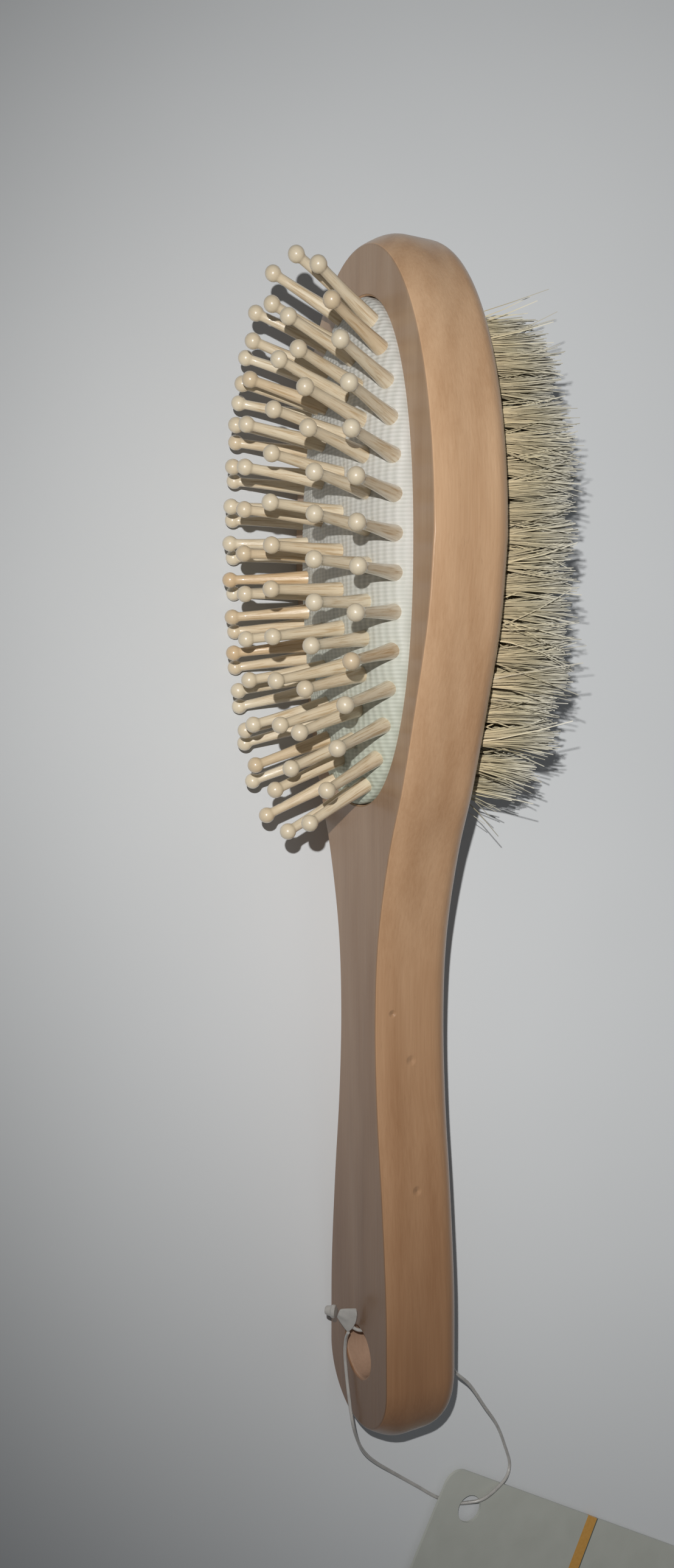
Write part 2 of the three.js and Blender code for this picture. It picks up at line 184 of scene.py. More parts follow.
def node(tree, kind, *inputs, output=0, **settings):
    """Adds a node, sets or links its first inputs in order, and returns the chosen output."""
    made = tree.nodes.new("ShaderNode" + kind)
    for name, value in settings.items():
        setattr(made, name, value)
    for socket, value in zip(made.inputs, inputs):
        feed(tree, socket, value)
    return made.outputs[output]


def feed(tree, socket, value):
    if value is None:
        return
    if isinstance(value, bpy.types.NodeSocket):
        tree.links.new(value, socket)
    else:
        socket.default_value = value


def calc(tree, operation, *values):
    return node(tree, "Math", *values, operation=operation)


def attribute(tree, name, output="Fac"):
    made = tree.nodes.new("ShaderNodeAttribute")
    made.attribute_name = name
    return made.outputs[output]


def ramp(tree, factor, *stops):
    """A colour ramp through (position, colour) stops."""
    made = tree.nodes.new("ShaderNodeValToRGB")
    feed(tree, made.inputs[0], factor)
    elements = made.color_ramp.elements
    while len(elements) < len(stops):
        elements.new(1)
    for element, (position, color) in zip(elements, stops):
        element.position = position
        element.color = (*color, 1)
    return made.outputs["Color"]


def mix(tree, factor, first, second, blend="MIX"):
    """Mixes two colours."""
    made = tree.nodes.new("ShaderNodeMix")
    made.data_type = "RGBA"
    made.blend_type = blend
    feed(tree, made.inputs[0], factor)
    feed(tree, made.inputs[6], first)
    feed(tree, made.inputs[7], second)
    return made.outputs[2]


def noise(tree, vector, scale, detail=3.0, roughness=0.55, output="Fac"):
    made = tree.nodes.new("ShaderNodeTexNoise")
    feed(tree, made.inputs["Vector"], vector)
    made.inputs["Scale"].default_value = scale
    made.inputs["Detail"].default_value = detail
    made.inputs["Roughness"].default_value = roughness
    return made.outputs[output]


def bump(tree, shader, height, distance, strength=1.0):
    """Feeds a height, in units of distance metres, to the shader's normal."""
    made = tree.nodes.new("ShaderNodeBump")
    made.inputs["Strength"].default_value = strength
    made.inputs["Distance"].default_value = distance
    feed(tree, made.inputs["Height"], height)
    tree.links.new(made.outputs["Normal"], shader.inputs["Normal"])


def local_vector(tree, axes=None, scale=(1, 1, 1), shift=(0, 0, 0)):
    """Surface points in millimetres in the brush's own axes or the given ones, then scaled and shifted."""
    axes = axes or BRUSH
    place = tree.nodes.new("ShaderNodeTexCoord").outputs["Object"]
    from_start = node(tree, "VectorMath", place, tuple(axes.to_translation()), operation="SUBTRACT")
    back = tuple(axes.to_quaternion().inverted().to_euler("XYZ"))
    turned = node(tree, "VectorRotate", from_start, None, None, None, back, rotation_type="EULER_XYZ")
    in_mm = node(tree, "VectorMath", turned, tuple(s / MM for s in scale), operation="MULTIPLY")
    return node(tree, "VectorMath", in_mm, shift, operation="ADD")


# ---- Mesh helpers ----
def oval(half_length, half_width, exponent, middle, count):
    """Points (Y, Z) round a superellipse, from its lowest Y."""
    angle = np.arange(count) * 2 * math.pi / count
    along = -np.sign(np.cos(angle)) * np.abs(np.cos(angle)) ** (2 / exponent) * half_length
    across = np.sign(np.sin(angle)) * np.abs(np.sin(angle)) ** (2 / exponent) * half_width
    return np.stack([middle + along, across], 1)


def spaced_oval(count, half_length, half_width, exponent):
    """Points (Y, Z) equally far apart round one ring of pins."""
    fine = oval(half_length, half_width, exponent, OPENING["y"], 720)
    fine = np.vstack([fine, fine[:1]])
    run = np.concatenate([[0], np.cumsum(np.linalg.norm(np.diff(fine, axis=0), axis=1))])
    wanted = np.arange(count) * run[-1] / count
    return np.stack([np.interp(wanted, run, fine[:, 0]), np.interp(wanted, run, fine[:, 1])], 1)


def spline(knots, per_span, power):
    """Points along a Catmull-Rom curve. Power 0 times its knots evenly, and 0.5 by centripetal distance."""
    knots = [np.array(k, float) for k in knots]
    line = [2 * knots[0] - knots[1], *knots, 2 * knots[-1] - knots[-2]]
    made = []
    for before, start, end, after in zip(line, line[1:], line[2:], line[3:]):
        spans = ((before, start), (start, end), (end, after))
        t0, t1, t2 = (np.linalg.norm(b - a) ** power for a, b in spans)
        leave = ((start - before) / t0 - (end - before) / (t0 + t1)) * t1 + (end - start)
        arrive = (end - start) - ((after - start) / (t1 + t2) - (after - end) / t2) * t1
        for t in np.arange(per_span) / per_span:
            blend = 3 * t**2 - 2 * t**3
            ease = leave * (t - 2 * t**2 + t**3) + arrive * (t**3 - t**2)
            made.append(start * (1 - blend) + end * blend + ease)
    made.append(knots[-1])
    return np.array(made)


def loft(rings, capped=True):
    """Points and faces of a skin over rings of equal count."""
    count = len(rings[0])
    faces = []
    for ring in range(len(rings) - 1):
        for i in range(count):
            here, beside = ring * count + i, ring * count + (i + 1) % count
            faces.append((here, beside, beside + count, here + count))
    if capped:
        last = (len(rings) - 1) * count
        faces.append(tuple(reversed(range(count))))
        faces.append(tuple(range(last, last + count)))
    return np.concatenate(rings), faces


def flat_ring(points, x):
    """A ring of (Y, Z) points at one X or at one X each."""
    return np.column_stack([np.broadcast_to(x, len(points)), points])


def new_piece(name, points, faces):
    """A linked mesh object whose faces point out, still in the units of its points."""
    mesh = bpy.data.meshes.new(name)
    mesh.from_pydata(np.asarray(points).tolist(), [], faces)
    shaped = bmesh.new()
    shaped.from_mesh(mesh)
    bmesh.ops.remove_doubles(shaped, verts=shaped.verts, dist=1e-5)
    bmesh.ops.recalc_face_normals(shaped, faces=shaped.faces)
    shaped.to_mesh(mesh)
    shaped.free()
    piece = bpy.data.objects.new(name, mesh)
    bpy.context.scene.collection.objects.link(piece)
    return piece


def apply_modifiers(piece):
    graph = bpy.context.evaluated_depsgraph_get()
    mesh = bpy.data.meshes.new_from_object(piece.evaluated_get(graph))
    piece.modifiers.clear()
    piece.data = mesh


def cut(piece, points, faces):
    """Takes a closed shape out of a piece."""
    cutter = new_piece("cutter", points, faces)
    modifier = piece.modifiers.new("cut", "BOOLEAN")
    modifier.operation = "DIFFERENCE"
    modifier.solver = "EXACT"
    modifier.object = cutter
    apply_modifiers(piece)
    bpy.data.objects.remove(cutter)


def dress(piece, material, slot, body, *nodes, sharp=30, matrix=BRUSH):
    """Moves a piece into the row frame, shades it, and says what it rides on and stands for."""
    piece.data.transform(matrix)
    piece.data.materials.append(material)
    piece.data.shade_smooth()
    piece.data.set_sharp_from_angle(angle=math.radians(sharp))
    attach(piece, body)
    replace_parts(piece, *nodes)
    return piece


# ---- Nylon loop, its lock and the tag ----
def nylon_material():
    nylon, tree, shader = new_material("clear_nylon", Roughness=0.3, IOR=1.5, Coat_Weight=0.3)
    shader.inputs["Transmission Weight"].default_value = 0.35
    cloud = noise(tree, local_vector(tree), 0.5)
    milky = ramp(tree, cloud, (0.3, (0.54, 0.52, 0.49)), (0.7, (0.67, 0.65, 0.61)))
    feed(tree, shader.inputs["Base Color"], milky)
    bump(tree, shader, noise(tree, local_vector(tree), 0.8), 0.00003)
    return nylon


def make_loop(material):
    line = spline(ROUTE, 8, 0.5) * MM
    curve = bpy.data.curves.new("nylon_loop", "CURVE")
    curve.dimensions = "3D"
    curve.bevel_depth = FILAMENT_RADIUS * MM
    curve.bevel_resolution = 3
    curve.use_fill_caps = True
    path = curve.splines.new("POLY")
    path.points.add(len(line) - 1)
    path.points.foreach_set("co", np.column_stack([line, np.ones(len(line))]).ravel())
    loop = bpy.data.objects.new("nylon_loop", curve)
    bpy.context.scene.collection.objects.link(loop)
    curve.materials.append(material)
    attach(loop, "handle")
    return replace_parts(loop, "loop_filament")


def lathe(profile, sides):
    """Points and faces of a profile of (radius, height) pairs turned about +Y."""
    angle = np.arange(sides) * 2 * math.pi / sides
    rings = [np.column_stack([r * np.cos(angle), np.full(sides, h), r * np.sin(angle)]) for r, h in profile]
    return loft(rings)


def make_lock_socket(material):
    """A turned cup with a collar, which runs from the lock's root to its far end."""
    root, end = Vector(LOCK["root"]), Vector(LOCK["end"])
    run = (end - root).length
    collar, radius, length = SOCKET["collar_radius"], SOCKET["radius"], SOCKET["collar_length"]
    profile = [
        (0.01, 0), (collar - 0.15, 0), (collar, 0.15), (collar, length - 0.15), (collar - 0.1, length),
        (radius, length + 0.15), (radius * 0.86, run - 0.35), (radius * 0.7, run - 0.08), (0.55, run),
        (0.42, run), (0.4, run - 0.5), (0.01, run - 0.5),
    ]
    socket = new_piece("lock_socket_clear", *lathe(profile, 24))
    turn = Vector((0, 1, 0)).rotation_difference(end - root).to_matrix().to_4x4()
    place = BRUSH @ Matrix.Translation(root) @ turn
    return dress(socket, material, "clear_nylon", "handle", "lock_socket", matrix=place)


def make_lock_leaf(material):
    """A thin fan-shaped plate with a thicker rib down its middle and rounded wide corners."""
    root, edge, corner = (Vector(LOCK[k]) for k in ("root", "edge", "corner"))
    along = (edge - root).normalized()
    across = corner - edge
    across = (across - along * across.dot(along)).normalized()
    length = (edge - root).length - LEAF["clear"] + 0.3
    columns, rows = 17, 21
    points = []
    for side in (1, -1):
        for i in range(rows):
            share = i / (rows - 1)
            widening = min(share / 0.75, 1) ** 0.85
            half = (LEAF["root_width"] + (LEAF["edge_width"] - LEAF["root_width"]) * widening) / 2
            rounding = max(share - 0.75, 0) / 0.25
            half *= math.sqrt(max(1 - 0.45 * rounding**2, 0))
            for j in range(columns):
                v = 2 * j / (columns - 1) - 1
                rib = 0.2 * math.exp(-((v * half) ** 2) / 0.5) * (1 - share)
                rim = 0.7 + 0.3 * math.sqrt(max(1 - abs(v) ** 6, 0))
                end = length * share - 0.35 * rounding * v**2
                points.append((end, v * half, side * (LEAF["thickness"] / 2 * rim + rib)))
    faces = []
    for layer in range(2):
        for i in range(rows - 1):
            for j in range(columns - 1):
                a = layer * rows * columns + i * columns + j
                faces.append((a, a + 1, a + columns + 1, a + columns))
    border = list(range(columns)) + [i * columns + columns - 1 for i in range(1, rows)]
    border += [(rows - 1) * columns + j for j in range(columns - 2, -1, -1)]
    border += [i * columns for i in range(rows - 2, 0, -1)]
    top = rows * columns
    for a, b in zip(border, border[1:] + border[:1]):
        faces.append((a, b, b + top, a + top))
    leaf = new_piece("lock_leaf_clear", points, faces)
    basis = Matrix((along, across, along.cross(across))).transposed().to_4x4()
    start = Matrix.Translation(root + along * LEAF["clear"])
    place = BRUSH @ start @ basis
    return dress(leaf, material, "clear_nylon", "handle", "lock_leaf", sharp=60, matrix=place)


def tag_axes():
    """The card's own millimetres: X along it from its hole's end, Y across it, Z up through it."""
    sink = math.asin(TAG_PLACE["lift"] / TAG_PLACE["length"])
    corner = Matrix.Translation(Vector((TAG_PLACE["x"], TAG_PLACE["y"], TAG_PLACE["lift"])) * MM)
    turn = Matrix.Rotation(TAG_PLACE["turn"], 4, "Z") @ Matrix.Rotation(sink, 4, "Y")
    return corner @ turn @ Matrix.Scale(MM, 4)


def tag_material():
    card, tree, shader = new_material("tag_card", Roughness=0.42, Coat_Weight=0.35, Coat_Roughness=0.18)
    on_card = local_vector(tree, tag_axes())
    along = node(tree, "SeparateXYZ", on_card, output=0)
    stripe = band(tree, along, STRIPE["middle"], STRIPE["width"])
    line_middle = STRIPE["middle"] + (STRIPE["width"] + STRIPE["line"]) / 2
    line = band(tree, along, line_middle, STRIPE["line"])
    paper = ramp(tree, noise(tree, on_card, 0.12), (0.3, (0.46, 0.47, 0.42)), (0.7, (0.50, 0.51, 0.46)))
    ink = ramp(tree, noise(tree, on_card, 1.5), (0.3, (0.58, 0.30, 0.06)), (0.7, (0.64, 0.34, 0.08)))
    printed = mix(tree, stripe, paper, ink)
    feed(tree, shader.inputs["Base Color"], mix(tree, line, printed, (0.10, 0.11, 0.09, 1)))
    bump(tree, shader, noise(tree, on_card, 4), 0.00002)
    return card


def band(tree, value, middle, width):
    """One where a value is within half a width of the middle, and nought elsewhere."""
    return calc(tree, "LESS_THAN", calc(tree, "ABSOLUTE", calc(tree, "SUBTRACT", value, middle)), width / 2)


def dress_tag():
    """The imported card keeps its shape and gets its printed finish."""
    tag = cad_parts["hang_tag"]
    tag.material_slots[0].material = tag_material()
    return tag


# ---- Board ----
def wood_material(name, light, dark, roughness, coat):
    """Long-grained wood with growth rings round a distant pith, fibres, patches, pores, painted light and
    shade, and nicks.
    """
    wood, tree, shader = new_material(name, Roughness=roughness, Coat_Weight=coat, Coat_Roughness=0.16)
    wander = noise(tree, local_vector(tree, scale=(0.05, 0.009, 0.05)), 1, 2, output="Color")
    wander = node(tree, "VectorMath", wander, (15, 15, 15), operation="MULTIPLY")
    pith = node(tree, "VectorMath", local_vector(tree, shift=(52, 0, 37)), wander, operation="ADD")
    x, z = (node(tree, "SeparateXYZ", pith, output=i) for i in (0, 2))
    radius = calc(tree, "SQRT", calc(tree, "ADD", calc(tree, "MULTIPLY", x, x), calc(tree, "MULTIPLY", z, z)))
    ring = calc(tree, "SINE", calc(tree, "MULTIPLY", radius, 2 * math.pi / 5.2))
    fibre = noise(tree, local_vector(tree, scale=(2.2, 0.04, 2.2)), 1, 4, 0.65)
    patch = noise(tree, local_vector(tree, scale=(0.16, 0.017, 0.16)), 1, 3)
    pores = noise(tree, local_vector(tree, scale=(5.5, 0.3, 5.5)), 1, 2, 0.5)
    shade = calc(tree, "MULTIPLY_ADD", ring, 0.045, calc(tree, "MULTIPLY", fibre, 0.35))
    shade = calc(tree, "MULTIPLY_ADD", patch, 0.65, shade)
    color = ramp(tree, shade, (0.34, light), (0.70, dark))
    place = local_vector(tree)
    depth, length = (node(tree, "SeparateXYZ", place, output=i) for i in (0, 1))
    from_end = calc(tree, "DIVIDE", length, BOARD["length"])
    # painted shade of the light's falloff towards the handle's end, partly darker wood, and painted light at
    # the head
    falloff_shade_and_light = ramp(tree, from_end, (0, HANDLE_END_SHADE_AND_TONE), (0.8, HEAD_PAINTED_LIGHT))
    color = mix(tree, 1.0, color, falloff_shade_and_light, "MULTIPLY")
    # painted shade over the front face
    on_front = calc(tree, "LESS_THAN", depth, 0.12)
    color = mix(tree, on_front, color, mix(tree, 1.0, color, FACE_PAINTED_SHADE, "MULTIPLY"))
    pore = calc(tree, "GREATER_THAN", pores, 0.67)
    color = mix(tree, calc(tree, "MULTIPLY", pore, 0.10), color, (0.16, 0.085, 0.045, 1))
    feed(tree, shader.inputs["Base Color"], color)
    rough = calc(tree, "MULTIPLY_ADD", patch, 0.16, roughness - 0.08)
    feed(tree, shader.inputs["Roughness"], rough)
    height = calc(tree, "MULTIPLY_ADD", fibre, 0.6, calc(tree, "MULTIPLY", patch, 2.5))
    for center, reach in NICKS:
        away = node(tree, "VectorMath", place, center, operation="DISTANCE", output=1)
        nick = calc(tree, "SMOOTH_MAX", calc(tree, "SUBTRACT", 1, calc(tree, "DIVIDE", away, reach)), 0, 0.2)
        height = calc(tree, "MULTIPLY_ADD", nick, -5, height)
    bump(tree, shader, height, 0.00007)
    return wood


def half_outline():
    """One side of the outline as (Y, half-width), from the handle's end to the head's tip."""
    r, e = BOARD["end_radius"], 2 / WIDEST["exponent"]
    end = [(r * (1 - math.cos(a)), r * math.sin(a)) for a in np.arange(20) / 20 * math.pi / 2]
    side = spline([(r, r), *WAIST, (WIDEST["y"], WIDEST["half_width"])], 9, 0)[:-1]
    reach = BOARD["length"] - WIDEST["y"]
    tip = [
        (WIDEST["y"] + math.sin(a) ** e * reach, math.cos(a) ** e * WIDEST["half_width"])
        for a in np.arange(40) / 40 * math.pi / 2
    ]
    return np.array([*end, *side, *tip, (BOARD["length"], 0)])


def board_rings():
    """The board's sections from its front face to its back, with crowned ends and rounded back edges."""
    half = half_outline()
    outline = np.vstack([half, half[-2:0:-1] * (1, -1)])
    along = np.roll(outline, -1, 0) - np.roll(outline, 1, 0)
    along /= np.linalg.norm(along, axis=1)[:, None]
    inward = np.stack([along[:, 1], -along[:, 0]], 1)
    end_round = np.where(inward[:, 0] > 0, BOARD["end_round"], BOARD["tip_round"])
    round_off = BOARD["side_round"] + (end_round - BOARD["side_round"]) * inward[:, 0] ** 4
    flat_end = BOARD["thickness"] - round_off
    ease = BOARD["edge_break"]
    quarter = np.linspace(0, math.pi / 2, 12)
    steps = [(ease * (1 - math.cos(a)), ease * (1 - math.sin(a))) for a in quarter[::3]]
    steps += [(ease + t * (flat_end - ease), 0) for t in (0.1, 0.2, 0.3, 0.4, 0.5, 0.6, 0.75, 0.9)]
    steps += [(flat_end + round_off * math.sin(a), round_off * (1 - math.cos(a))) for a in quarter]
    ends = inward[:, 0] ** 2
    rings = []
    for depth, inset in steps:
        share = np.minimum(depth / BOARD["crown_depth"], 1)
        crown = BOARD["crown"] * ends * np.sin(math.pi / 2 * share)
        crown += BOARD["side_crown"] * (1 - ends) * (1 - (1 - share) ** 3)
        shift = np.broadcast_to(inset - crown, len(outline))
        rings.append(flat_ring(outline + inward * shift[:, None], depth))
    return rings


def tuft_places():
    """(Y, Z) of each drilled hole, in staggered rows inside an oval."""
    places = []
    for row in range(TUFTS["rows"]):
        z = (row - (TUFTS["rows"] - 1) / 2) * TUFTS["pitch"]
        share = 1 - abs(z / TUFTS["half_width"]) ** TUFTS["exponent"]
        reach = TUFTS["half_length"] * share ** (1 / TUFTS["exponent"]) - TUFTS["hole_radius"]
        count = int(2 * reach / TUFTS["pitch"]) + 1
        first = OPENING["y"] - (count - 1) * TUFTS["pitch"] / 2
        places += [(first + i * TUFTS["pitch"], z) for i in range(count)]
    return places


def make_board(lacquered, raw):
    """The lacquered board with its drilled holes, and with its pocket and hanging hole left raw."""
    points, faces = loft(board_rings())
    board = new_piece("wood_board", above_floor(points), faces)
    middle, ease = OPENING["y"], OPENING["ease"]
    shape = (OPENING["exponent"], middle, 180)
    pocket = [
        flat_ring(oval(OPENING["half_length"] + grow, OPENING["half_width"] + grow, *shape), x)
        for x, grow in ((-1, ease + 1), (0, ease), (ease, 0), (OPENING["depth"], 0))
    ]
    cut(board, *loft(pocket))
    thick, wall, eased = BOARD["thickness"], HANG_HOLE["radius"], HANG_HOLE["ease"]
    profile = [(-1, eased + 1), (0, eased), (0.35 * eased, 0.3 * eased), (eased, 0)]
    profile += [(thick - x, grow) for x, grow in reversed(profile)]
    hole = [flat_ring(oval(wall + grow, wall + grow, 2, HANG_HOLE["y"], 64), x) for x, grow in profile]
    cut(board, *loft(hole))
    drills_points, drills_faces = [], []
    for y, z in tuft_places():
        ring = oval(TUFTS["hole_radius"], TUFTS["hole_radius"], 2, y, 12) + (0, z)
        drill = loft([flat_ring(ring, thick - TUFTS["hole_depth"]), flat_ring(ring, thick + 1)])
        drills_faces += [tuple(i + len(drills_points) for i in face) for face in drill[1]]
        drills_points += drill[0].tolist()
    cut(board, drills_points, drills_faces)
    dress(board, lacquered, "lacquered_wood", "handle", "wood_body", sharp=25)
    board.data.materials.append(raw)
    from_world = BRUSH.inverted()
    for face in board.data.polygons:
        spot = from_world @ face.center
        in_hole = math.hypot(spot.y - HANG_HOLE["y"], spot.z) < wall + 0.1
        in_pocket = 0.4 < spot.x < OPENING["depth"] + 0.01 and inside_opening(spot.y, spot.z, 0.2)
        face.material_index = 1 if in_hole or in_pocket else 0
    board.modifiers.new("even_shading", "WEIGHTED_NORMAL").keep_sharp = True
    apply_modifiers(board)
    return board


def inside_opening(y, z, margin):
    along = abs(y - OPENING["y"]) / (OPENING["half_length"] + margin)
    across = abs(z) / (OPENING["half_width"] + margin)
    return along ** OPENING["exponent"] + across ** OPENING["exponent"] < 1


# ---- Air cushion ----
def dome_height(y, z):
    along = np.abs((y - OPENING["y"]) / (OPENING["half_length"] - GAP)) ** OPENING["exponent"]
    across = np.abs(z / (OPENING["half_width"] - GAP)) ** OPENING["exponent"]
    return CUSHION_HEIGHT * np.sqrt(np.clip(1 - along - across, 0, None))


def cushion_material():
    rubber, tree, shader = new_material("cushion_rubber", Roughness=0.55, Specular_IOR_Level=0.35)
    place = local_vector(tree, shift=(0, -OPENING["y"], 0))
    waves = []
    for output, pitch in ((1, LATTICE["along"]), (2, LATTICE["across"])):
        run = calc(tree, "MULTIPLY", node(tree, "SeparateXYZ", place, output=output), 2 * math.pi / pitch)
        waves.append(calc(tree, "COSINE", run))
    dot = calc(tree, "MULTIPLY_ADD", calc(tree, "ADD", *waves), 0.25, 0.5)
    share_along = calc(tree, "MULTIPLY_ADD", node(tree, "SeparateXYZ", place, output=1), 0.01, 1)
    stain = noise(tree, local_vector(tree, scale=(0.05, 0.05, 0.05)), 1, 2)
    pale = ramp(tree, stain, (0.35, (0.66, 0.65, 0.61)), (0.65, (0.70, 0.69, 0.65)))
    lower = ramp(tree, share_along, (0.5, (0.84, 0.92, 0.80)), (1, (1, 1, 1)))
    pale = mix(tree, 1.0, pale, lower, "MULTIPLY")
    # painted shade in the valleys among the skin's dots
    painted_valley_shade = mix(tree, 1.0, pale, (0.80, 0.81, 0.79, 1), "MULTIPLY")
    feed(tree, shader.inputs["Base Color"], mix(tree, dot, painted_valley_shade, pale))
    bump(tree, shader, dot, LATTICE["rise"] * 1.5 * MM)
    return rubber


def make_cushion(material, feet):
    """A domed skin that dips a little round each pin."""
    reach, half = OPENING["half_length"] - GAP, OPENING["half_width"] - GAP
    step = LATTICE["along"] / 4
    inner = np.arange(-int((reach - 2) / step), int((reach - 2) / step) + 1) * step
    end = inner[-1] + (reach - inner[-1]) * np.sin(np.linspace(0, math.pi / 2, 9))[1:]
    rows = np.concatenate([-end[::-1], inner, end])
    columns = np.linspace(-1, 1, 113)
    columns = 0.6 * columns + 0.4 * np.sin(columns * math.pi / 2)
    power = OPENING["exponent"]
    width = half * np.clip(1 - np.abs(rows / reach) ** power, 0, None) ** (1 / power)
    y = np.repeat(OPENING["y"] + rows[:, None], len(columns), 1)
    z = width[:, None] * columns[None, :]
    height = dome_height(y, z)
    fade = np.clip(height / 1.5, 0, 1)
    wave_along = np.cos(2 * math.pi * rows / LATTICE["along"])[:, None]
    wave_across = np.cos(2 * math.pi * z / LATTICE["across"])
    height += LATTICE["rise"] * fade * (wave_along + wave_across) / 2
    for foot_y, foot_z in feet:
        near = (y - foot_y) ** 2 + (z - foot_z) ** 2
        height -= 0.45 * fade * np.exp(-near / 5)
    points = np.stack([-height, y, z], -1).reshape(-1, 3)
    across = len(columns)
    faces = [
        (i * across + j, i * across + j + 1, (i + 1) * across + j + 1, (i + 1) * across + j)
        for i in range(len(rows) - 1)
        for j in range(across - 1)
    ]
    cushion = new_piece("air_cushion", points, faces)
    shaped = bmesh.new()
    shaped.from_mesh(cushion.data)
    border = [e for e in shaped.edges if e.is_boundary]
    made = bmesh.ops.extrude_edge_only(shaped, edges=border)["geom"]
    for vert in (g for g in made if isinstance(g, bmesh.types.BMVert)):
        vert.co.x = OPENING["depth"] - GAP
    bmesh.ops.holes_fill(shaped, edges=[e for e in shaped.edges if e.is_boundary])
    bmesh.ops.recalc_face_normals(shaped, faces=shaped.faces)
    shaped.to_mesh(cushion.data)
    shaped.free()
    dress(cushion, material, "cushion_rubber", "handle", "cushion_membrane", sharp=60)
    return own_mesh(cushion)


# ---- Pins ----
def pin_columns():
    """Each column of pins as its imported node's name and the (Y, Z) of its feet."""
    columns = {}
    for name, side in (("upper", 1), ("lower", -1)):
        for ring_name, ring in (("outer", OUTER_RING), ("middle", MIDDLE_RING)):
            feet = spaced_oval(**ring)
            on_side = feet[:, 1] > -1e-6 if side > 0 else feet[:, 1] <= -1e-6
            columns[f"pins_{ring_name}_{name}"] = feet[on_side]
        inner = [
            (INNER_COLUMNS["first_y"] + i * INNER_COLUMNS["pitch"], side * INNER_COLUMNS["half_width"])
            for i in range(INNER_COLUMNS["count"])
        ]
        columns[f"pins_inner_{name}"] = np.array(inner)
    return columns


def pin_profile():
    """A turned pin from its foot up a waisting stem to a ball, as (radius, height)."""
    foot, neck, ball, top = PIN["foot_radius"], PIN["neck_radius"], PIN["ball_radius"], PIN["length"]
    stem_top = top - math.sqrt(ball**2 - neck**2) - 0.25
    stem = []
    for share in np.linspace(0, 1, 10):
        radius = neck + (foot - 0.04 - neck) * (1 - share) ** 1.7
        stem.append((radius, share * stem_top))
    first = math.asin(neck / ball) + 0.1
    arc = [(ball * math.sin(a), top - ball * math.cos(a)) for a in np.linspace(first, math.pi, 15)]
    arc[-1] = (0.01, top + ball)
    return [(0.01, -PIN["foot"]), (foot, -PIN["foot"]), *stem, *arc]


def pin_material():
    birch, tree, shader = new_material("birch_pin", Roughness=0.34, Coat_Weight=0.8, Coat_Roughness=0.07)
    tone = attribute(tree, "tone")
    grain = attribute(tree, "grain", "Vector")
    streak = noise(tree, grain, 1, 4, 0.6)
    fleck = noise(tree, node(tree, "VectorMath", grain, (2.6, 2.6, 1.4), operation="MULTIPLY"), 1, 2)
    wood = ramp(
        tree, tone, (0, (0.72, 0.61, 0.44)), (0.5, (0.76, 0.66, 0.49)), (0.8, (0.68, 0.54, 0.36)),
        (1, (0.66, 0.43, 0.22)),
    )
    darker = mix(tree, 1.0, wood, (0.74, 0.64, 0.52, 1), "MULTIPLY")
    on_stem = attribute(tree, "stem")
    lines = calc(tree, "MULTIPLY", ramp(tree, streak, (0.48, (0, 0, 0)), (0.66, (1, 1, 1))), on_stem)
    color = mix(tree, lines, wood, darker)
    dark_fleck = calc(tree, "MULTIPLY", calc(tree, "GREATER_THAN", fleck, 0.68), on_stem)
    color = mix(tree, calc(tree, "MULTIPLY", dark_fleck, 0.25), color, (0.30, 0.18, 0.09, 1))
    feed(tree, shader.inputs["Base Color"], color)
    bump(tree, shader, calc(tree, "MULTIPLY", streak, calc(tree, "MULTIPLY_ADD", on_stem, 0.8, 0.2)), 0.00009)
    return birch


def make_pins(name, feet, material):
    """One column of pins, which fan out from the dome, each with its own tone and grain."""
    profile = pin_profile()
    sides = PIN["sides"]
    points, faces = lathe(profile, sides)
    turns = np.tile(np.arange(sides) * 2 * math.pi / sides, len(profile))
    along = np.repeat([h for _, h in profile], sides)
    on_stem = np.clip((PIN["length"] - PIN["ball_radius"] - along) / 3, 0.12, 1)
    all_points, all_faces, tones, grains = [], [], [], []
    for y, z in feet:
        off = y - OPENING["y"]
        lean = Vector((-1, FAN["along"] * off + FAN["end_lift"] * off**3, FAN["across"] * z)).normalized()
        lean = (lean + Vector([rng.gauss(0, 0.012) for _ in range(3)])).normalized()
        turn = np.array(Vector((0, 1, 0)).rotation_difference(lean).to_matrix())
        start = np.array((-float(dome_height(y, z)), y, z)) - np.array(lean) * rng.uniform(0, 0.25)
        all_faces += [tuple(i + len(all_points) for i in face) for face in faces]
        all_points += (points @ turn.T + start).tolist()
        orange = rng.random() < 0.12
        tones += [rng.uniform(0.76, 0.9) if orange else rng.uniform(0, 0.72)] * len(points)
        seat = rng.uniform(0, 400)
        spin = rng.uniform(0, 2 * math.pi)
        around = turns + spin
        grains.append(np.column_stack([3.4 * np.cos(around) + seat, 3.4 * np.sin(around), along * 0.16]))
    pins = bpy.data.objects.new("turned_" + name, bpy.data.meshes.new("turned_" + name))
    pins.data.from_pydata(all_points, [], all_faces)
    bpy.context.scene.collection.objects.link(pins)
    for attribute_name, values in (("tone", tones), ("stem", np.tile(on_stem, len(feet)))):
        pins.data.attributes.new(attribute_name, "FLOAT", "POINT").data.foreach_set("value", values)
    grain = pins.data.attributes.new("grain", "FLOAT_VECTOR", "POINT")
    grain.data.foreach_set("vector", np.concatenate(grains).ravel())
    return dress(pins, material, "birch_pin", "pin_field", name, sharp=50)


# ---- Bristles ----
def above_floor(points):
    """Lays what would reach under the floor on it."""
    axes = np.array(BRUSH)
    heights = points @ axes[2, :3] + axes[2, 3]
    up = axes[2, :3] / np.dot(axes[2, :3], axes[2, :3])
    lift = np.clip(CLEAR_OF_FLOOR - heights, 0, None)
    return points + lift[:, None] * up


